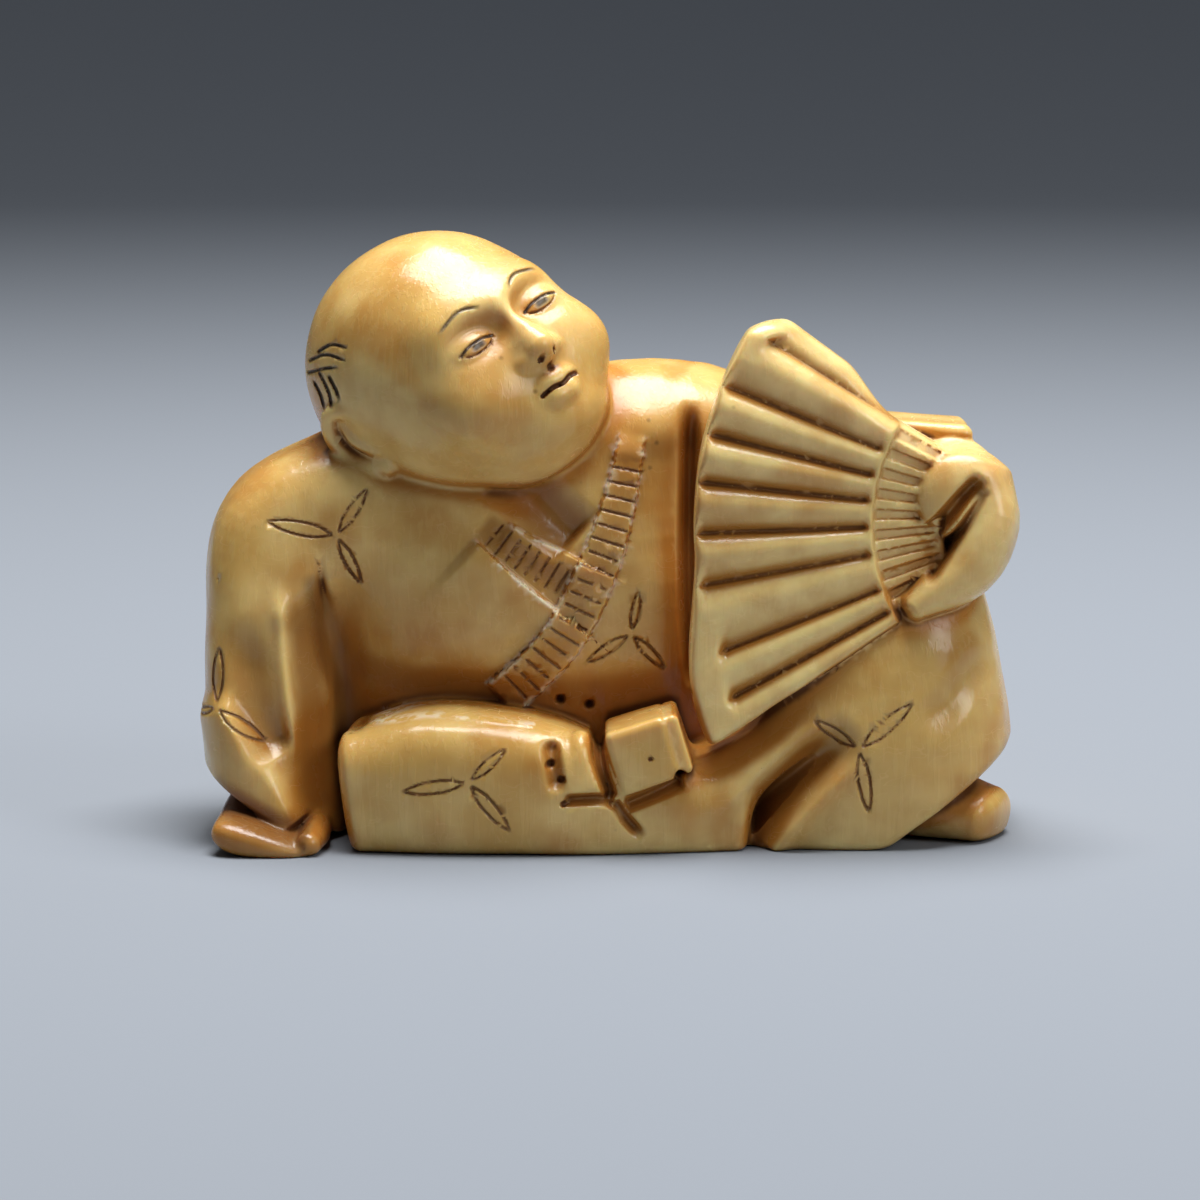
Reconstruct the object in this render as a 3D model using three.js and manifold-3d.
// A netsuke carved from one block: a person with a shaved head, in a wrapped robe, leans back on
// the right hand. The right leg is folded flat along the front, the left knee is raised, and the
// left fist holds an open folding fan over it. Two cord holes meet inside the back.
//
// Millimetres, +Z up. The carved front faces -Y, and +X runs from the propping arm to the raised
// knee. The origin is the middle of the bounding box's footprint, on the flat underside.

import * as THREE from "three";
import { LoftGeometry } from "three/addons/geometries/LoftGeometry.js";
import { mergeVertices } from "three/addons/utils/BufferGeometryUtils.js";
import Module from "manifold-3d";

const wasm = await Module();
wasm.setup();

// Driving dimensions

const IVORY = { color: 0xc9a364, roughness: 0.32, metalness: 0 };
const GROUND = { size: 60, depth: 8 };

// A mass is lofted through stations of [x, y, z, half width, half depth], depth towards Y.
// squareness 2 is an ellipse and more is boxier, and dome is how far each end bulges.
const TORSO = {
  squareness: 2.5,
  dome: 1.2,
  stations: [
    [-0.2, 2.4, -1.0, 14.4, 7.0],
    [-1.0, 2.2, 4.5, 13.6, 7.0],
    [-2.8, 1.5, 10.0, 11.8, 7.0],
    [-4.0, 1.4, 14.5, 10.2, 6.5],
    [-4.0, 1.8, 18.2, 7.8, 5.0],
  ],
};
const SHOULDERS = {
  squareness: 2.2,
  dome: 2.0,
  stations: [
    [-12.6, 0.2, 14.6, 4.0, 4.4],
    [-8.5, 0.6, 15.4, 4.5, 5.2],
    [-3.0, 1.0, 17.0, 4.9, 5.6],
    [2.4, 1.8, 17.8, 4.9, 5.2],
    [6.6, 2.4, 17.6, 4.0, 4.4],
  ],
};
const PROPPING_SLEEVE = {
  squareness: 2.6,
  dome: 0.6,
  stations: [
    [-12.6, 0.6, 16.6, 3.0, 4.2],
    [-15.6, 0.0, 14.4, 4.2, 5.2],
    [-16.7, -0.8, 10.0, 3.2, 5.4],
    [-16.7, -1.6, 5.6, 3.2, 5.4],
    [-16.3, -2.2, 2.6, 3.3, 5.6],
  ],
};
const PROPPING_HAND = {
  squareness: 2.4,
  dome: 1.2,
  stations: [
    [-16.2, -2.0, 1.2, 2.7, 1.5],
    [-16.3, -5.6, 1.0, 3.0, 1.7],
    [-16.2, -9.0, 0.7, 2.7, 1.3],
  ],
};
const FOLDED_LEG = {
  squareness: 4,
  dome: 1.2,
  stations: [
    [-11.6, -5.4, 2.9, 3.0, 3.9],
    [-6.0, -5.7, 3.0, 3.6, 4.2],
    [0.0, -5.7, 2.5, 3.3, 4.1],
    [4.6, -5.2, 2.1, 3.0, 3.6],
  ],
};
const FOLDED_FOOT = {
  squareness: 3,
  dome: 0.5,
  stations: [
    [-2.6, -7.2, 4.4, 1.4, 1.9],
    [-0.8, -7.4, 4.6, 1.5, 2.0],
    [0.4, -7.6, 4.6, 2.1, 2.1],
    [3.4, -7.2, 4.4, 1.9, 2.0],
  ],
};
const RAISED_KNEE = {
  squareness: 2.6,
  dome: 1.6,
  stations: [
    [11.6, -0.4, -1.0, 6.4, 7.8],
    [12.5, -0.4, 3.6, 6.8, 8.0],
    [12.6, -0.4, 8.4, 6.0, 7.4],
    [12.8, -0.2, 12.4, 4.8, 6.2],
    [13.4, 0.2, 15.6, 3.4, 4.6],
  ],
};
const SKIRT_FRONT = {
  squareness: 2.4,
  dome: 1.0,
  stations: [
    [3.8, -5.2, 0.6, 3.4, 3.2],
    [8.2, -5.4, 2.6, 3.6, 3.3],
    [12.4, -5.0, 5.0, 3.4, 3.2],
  ],
};
const RAISED_FOOT = {
  squareness: 2.6,
  dome: 0.9,
  stations: [
    [14.0, -3.6, 1.3, 1.6, 3.2],
    [16.4, -4.4, 1.2, 1.7, 3.0],
    [18.2, -4.6, 1.0, 1.5, 2.6],
  ],
};
const FAN_SLEEVE = {
  squareness: 2.6,
  dome: 0.6,
  stations: [
    [4.0, 2.6, 18.0, 4.2, 4.3],
    [9.0, 1.4, 16.9, 3.8, 4.0],
    [13.2, -0.2, 16.6, 3.3, 3.6],
    [16.4, -1.4, 16.4, 2.6, 3.0],
  ],
};
const FIST = { at: [16.9, -3.6, 15.9], radii: [2.7, 3.8, 3.2], segments: [20, 14] };
const FIST_HEEL = {
  squareness: 2,
  dome: 0.7,
  stations: [
    [18.2, -3.8, 15.4, 1.5, 2.2],
    [17.2, -4.8, 13.0, 1.5, 2.0],
    [14.8, -6.0, 11.2, 1.1, 1.5],
  ],
};
const NECK = {
  squareness: 2,
  dome: 0.8,
  stations: [
    [-5.2, -0.2, 20.0, 4.4, 4.4],
    [-3.4, -1.0, 14.0, 4.0, 4.2],
  ],
};

// The head turns about its middle: yaw towards the fan, pitch to look up, roll onto the shoulder.
const HEAD = {
  at: [-7.2, -1.2, 22.5],
  yaw: 25,
  pitch: 20,
  roll: 32,
  skull: { at: [0, -1.1, 0.7], radii: [6.5, 6.6, 6.0] },
  jaw: { at: [0, 1.7, -1.5], radii: [5.2, 4.9, 5.2] },
  nose: { squareness: 2, dome: 0.4, stations: [[0, 6.0, 1.0, 0.7, 0.8], [0, 6.8, -1.0, 1.1, 0.9]] },
  brow: { across: 2.4, out: 5.0, up: 1.3, radii: [1.9, 0.7, 0.5] },
  ear: { across: 6.1, out: -1.0, up: 0.0, radii: [0.8, 1.3, 1.9] },
};

// The fan opens about its pivot, from its top guard to its bottom one. A pleat rises steeply on
// its upper side and falls away gently below. The top guard leans back onto the knee.
const FAN = {
  pivot: [21.2, 15.6],
  inner: 5.5,
  topRim: 17.4,
  bottomRim: 19.4,
  topAngle: 34.5,
  bottomAngle: -31.5,
  pleats: 9,
  steep: 0.25,
  pleatDepth: 0.6,
  thickness: 1.6,
  rimY: -8.3,
  innerY: -6.6,
  lean: 1.6,
  chamfer: 0.45,
};

// Bands and folds lie on the carving: each path gives [x, z], and they stand proud of it.
const COLLAR = {
  width: 1.15,
  proud: 0.35,
  over: [[1.9, 20.4], [1.2, 17.2], [-0.6, 13.6], [-3.0, 10.6], [-5.4, 8.0]],
  under: [[-6.4, 15.6], [-4.2, 13.4], [-1.9, 11.8]],
};
const FOLDS = {
  width: 0.75,
  proud: 0.5,
  paths: [
    [[-15.4, 14.2], [-15.6, 9.6], [-15.2, 5.2], [-14.8, 2.8]],
    [[-19.0, 6.2], [-17.6, 3.6], [-15.2, 1.6]],
    [[8.2, 1.2], [9.6, 3.8], [12.2, 6.2]],
  ],
};
const BACK_FOLDS = {
  width: 0.8,
  proud: 0.45,
  paths: [
    [[-10.0, 14.6], [-6.6, 10.4], [-1.6, 8.6]],
    [[-12.0, 9.6], [-10.0, 5.4], [-6.6, 2.8]],
    [[14.4, 12.0], [14.0, 7.6], [11.4, 3.0]],
  ],
};
const SASH = { width: 1.9, proud: 0.5, path: [[7.4, 13.4], [4.2, 9.0], [0.2, 5.0], [-4.2, 1.6]] };

// Two holes slant in from the back and meet, so that a cord can pass through.
const CORD_HOLES = {
  radii: [1.5, 1.8],
  mouths: [[5.8, 4.4], [11.4, 6.8]],
  meet: [8.6, 3.2, 5.8],
  segments: 20,
};

const RING_POINTS = 16;
const STEPS_PER_SPAN = 3;
const DOME_RINGS = 2;
const BAND_RING_POINTS = 6;

// Turns a closed geometry into a manifold-3d solid.
function solid(geometry) {
  const bare = new THREE.BufferGeometry();
  bare.setAttribute("position", geometry.attributes.position);
  bare.setIndex(geometry.index);
  const merged = mergeVertices(bare, 1e-4);
  return new wasm.Manifold(
    new wasm.Mesh({
      numProp: 3,
      vertProperties: merged.attributes.position.array,
      triVerts: new Uint32Array(merged.index.array),
    }),
  );
}

// One rounded section: a superellipse across the spine, its depth axis leaning towards Y.
function section(centre, along, width, depth, squareness, points) {
  const back = new THREE.Vector3(0, 1, 0).addScaledVector(along, -along.y).normalize();
  const across = new THREE.Vector3().crossVectors(back, along);
  const bend = (value) => Math.sign(value) * Math.abs(value) ** (2 / squareness);
  return Array.from({ length: points }, (_, i) => {
    const angle = (i / points) * Math.PI * 2;
    return centre
      .clone()
      .addScaledVector(across, width * bend(Math.cos(angle)))
      .addScaledVector(back, depth * bend(Math.sin(angle)));
  });
}

// A limb or a mass of cloth: sections lofted along a smooth spine, with domed ends.
function loft({ stations, squareness, dome }, points = RING_POINTS) {
  const spine = new THREE.CatmullRomCurve3(stations.map(([x, y, z]) => new THREE.Vector3(x, y, z)));
  const sizes = new THREE.CatmullRomCurve3(stations.map((s) => new THREE.Vector3(s[3], s[4], 0)));
  const steps = (stations.length - 1) * STEPS_PER_SPAN;
  const ringAt = (t, shift, shrink) => {
    const along = spine.getTangent(t);
    const centre = spine.getPoint(t).addScaledVector(along, shift);
    const size = sizes.getPoint(t).multiplyScalar(shrink);
    return section(centre, along, size.x, size.y, squareness, points);
  };
  const domed = (t, sign) =>
    Array.from({ length: DOME_RINGS }, (_, k) => {
      const angle = ((k + 1) / (DOME_RINGS + 0.6)) * (Math.PI / 2);
      return ringAt(t, sign * dome * Math.sin(angle), Math.cos(angle));
    });
  const sections = [
    ...domed(0, -1).reverse(),
    ...Array.from({ length: steps + 1 }, (_, i) => ringAt(i / steps, 0, 1)),
    ...domed(1, 1),
  ];
  return solid(new LoftGeometry(sections, { closed: true, capStart: true, capEnd: true }));
}

function ellipsoid({ at, radii, segments = [22, 14] }, matrix = new THREE.Matrix4()) {
  const geometry = new THREE.SphereGeometry(1, ...segments);
  geometry.rotateX(Math.PI / 2);
  geometry.scale(...radii);
  geometry.translate(...at);
  return solid(geometry.applyMatrix4(matrix));
}

// Reads a solid's surface: the first y met at (x, z), coming from the front (-1) or back (+1).
function surfaceReader(manifold, side) {
  const { vertProperties, triVerts, numProp } = manifold.getMesh();
  const at = (i) => new THREE.Vector3().fromArray(vertProperties, triVerts[i] * numProp);
  const triangles = [];
  for (let i = 0; i < triVerts.length; i += 3)
    triangles.push(new THREE.Triangle(at(i), at(i + 1), at(i + 2)));
  const origin = new THREE.Vector3();
  const hit = new THREE.Vector3();
  return (x, z) => {
    const ray = new THREE.Ray(origin.set(x, side * GROUND.size, z), new THREE.Vector3(0, -side, 0));
    const depths = triangles
      .filter(({ a, b, c }) => ray.intersectTriangle(a, b, c, false, hit) !== null)
      .map(({ a, b, c }) => ray.intersectTriangle(a, b, c, false, hit).y * side);
    return depths.length ? Math.max(...depths) * side : NaN;
  };
}

// A band or a fold that follows [x, z] points over a surface and stands proud of it.
function laid(path, { width, proud }, surface, side) {
  const curve = new THREE.SplineCurve(path.map(([x, z]) => new THREE.Vector2(x, z)));
  const steps = (path.length - 1) * 2;
  const sink = 0.6;
  const stations = Array.from({ length: steps + 1 }, (_, i) => {
    const { x, y: z } = curve.getPoint(i / steps);
    return [x, surface(x, z) - side * sink, z, width, sink + proud];
  }).filter(([, y]) => Number.isFinite(y));
  return loft({ stations, squareness: 3, dome: 0.3 }, BAND_RING_POINTS);
}

// The open fan: a pleated sector round its pivot, lofted from the top guard to the bottom one.
function fan() {
  const steps = FAN.pleats * 4;
  const sections = Array.from({ length: steps + 1 }, (_, i) => {
    const share = i / steps;
    const degrees = THREE.MathUtils.lerp(FAN.topAngle, FAN.bottomAngle, share);
    const angle = THREE.MathUtils.degToRad(degrees);
    const rim = THREE.MathUtils.lerp(FAN.topRim, FAN.bottomRim, share * share);
    const phase = (share * FAN.pleats) % 1;
    const crest = phase <= FAN.steep ? phase / FAN.steep : (1 - phase) / (1 - FAN.steep);
    const leaning = FAN.lean * Math.max(0, degrees / FAN.topAngle) ** 2;
    const front = (radius) => {
      const out = (radius - FAN.inner) / (rim - FAN.inner);
      const lie = THREE.MathUtils.lerp(FAN.innerY, FAN.rimY, out);
      return lie + leaning * out - FAN.pleatDepth * crest * (0.35 + 0.65 * out);
    };
    const place = (radius, y) =>
      new THREE.Vector3(
        FAN.pivot[0] - radius * Math.cos(angle),
        y,
        FAN.pivot[1] + radius * Math.sin(angle),
      );
    const shoulder = rim - FAN.chamfer;
    const back = front(rim) + FAN.thickness;
    return [
      place(FAN.inner, front(FAN.inner)),
      place((FAN.inner + rim) / 2, front((FAN.inner + rim) / 2)),
      place(shoulder, front(shoulder)),
      place(rim, front(rim) + FAN.chamfer),
      place(rim, back),
      place(rim - 3, back + 2.4),
      place(FAN.inner, FAN.innerY + 4),
    ];
  });
  return solid(new LoftGeometry(sections, { closed: true, capStart: true, capEnd: true }));
}

// The head, in its own frame with the face towards +Y and the crown up, then turned into place.
function head() {
  const turn = new THREE.Matrix4()
    .makeTranslation(...HEAD.at)
    .multiply(new THREE.Matrix4().makeRotationZ(Math.PI + THREE.MathUtils.degToRad(HEAD.yaw)))
    .multiply(new THREE.Matrix4().makeRotationX(THREE.MathUtils.degToRad(HEAD.pitch)))
    .multiply(new THREE.Matrix4().makeRotationY(THREE.MathUtils.degToRad(HEAD.roll)));
  const { ear, brow } = HEAD;
  const sides = [-1, 1].flatMap((side) => [
    ellipsoid({ at: [side * ear.across, ear.out, ear.up], radii: ear.radii, segments: [10, 8] }, turn),
    ellipsoid({ at: [side * brow.across, brow.out, brow.up], radii: brow.radii, segments: [10, 8] }, turn),
  ]);
  const nose = loft(HEAD.nose, 10).transform(turn.elements);
  return [ellipsoid(HEAD.skull, turn), ellipsoid(HEAD.jaw, turn), nose, ...sides];
}

// The two bores of the cord hole, from their mouths in the back to where they meet.
function cordHoles(backSurface) {
  const meet = new THREE.Vector3(...CORD_HOLES.meet);
  return CORD_HOLES.mouths.map(([x, z], i) => {
    const radius = CORD_HOLES.radii[i];
    const mouth = new THREE.Vector3(x, backSurface(x, z), z);
    const axis = mouth.clone().sub(meet).normalize();
    const length = mouth.distanceTo(meet) + 2 * radius;
    const bore = new THREE.CylinderGeometry(radius, radius, length + radius, CORD_HOLES.segments);
    bore.translate(0, (length - radius) / 2, 0);
    const turn = new THREE.Quaternion().setFromUnitVectors(new THREE.Vector3(0, 1, 0), axis);
    bore.applyQuaternion(turn);
    bore.translate(...meet.toArray());
    return solid(bore);
  });
}

// Everything below the ground plane, taken off to leave the flat underside.
function underTheBase() {
  const block = new THREE.BoxGeometry(GROUND.size, GROUND.size, GROUND.depth);
  block.translate(0, 0, -GROUND.depth / 2);
  return solid(block);
}

const joined = (solids) => solids.reduce((whole, next) => whole.add(next));

const body = joined([
  ...[TORSO, SHOULDERS, PROPPING_SLEEVE, FOLDED_LEG, RAISED_KNEE, SKIRT_FRONT, FAN_SLEEVE].map((m) => loft(m)),
  ...[PROPPING_HAND, FOLDED_FOOT, RAISED_FOOT, FIST_HEEL, NECK].map((m) => loft(m, 12)),
]);
const front = surfaceReader(body, -1);
const back = surfaceReader(body, 1);
const dress = [
  laid(COLLAR.under, COLLAR, front, -1),
  laid(COLLAR.over, COLLAR, front, -1),
  ...FOLDS.paths.map((path) => laid(path, FOLDS, front, -1)),
  ...BACK_FOLDS.paths.map((path) => laid(path, BACK_FOLDS, back, 1)),
  laid(SASH.path, SASH, back, 1),
];
const figure = joined([body, ...dress, ...head(), ellipsoid(FIST), fan()])
  .subtract(underTheBase())
  .subtract(joined(cordHoles(back)));

function geometryOf(manifold) {
  const { vertProperties, triVerts, numProp } = manifold.getMesh();
  const geometry = new THREE.BufferGeometry();
  const positions = new Float32Array((vertProperties.length / numProp) * 3);
  for (let i = 0; i < positions.length / 3; i++)
    positions.set(vertProperties.subarray(i * numProp, i * numProp + 3), i * 3);
  geometry.setAttribute("position", new THREE.BufferAttribute(positions, 3));
  geometry.setIndex(new THREE.BufferAttribute(triVerts, 1));
  geometry.computeBoundingBox();
  const { min, max } = geometry.boundingBox;
  geometry.translate(-(min.x + max.x) / 2, -(min.y + max.y) / 2, -min.z);
  geometry.computeVertexNormals();
  return geometry;
}

const netsuke = new THREE.Group();
const carving = new THREE.Mesh(geometryOf(figure), new THREE.MeshStandardMaterial(IVORY));
carving.name = "carved_figure";
netsuke.add(carving);

export default netsuke;
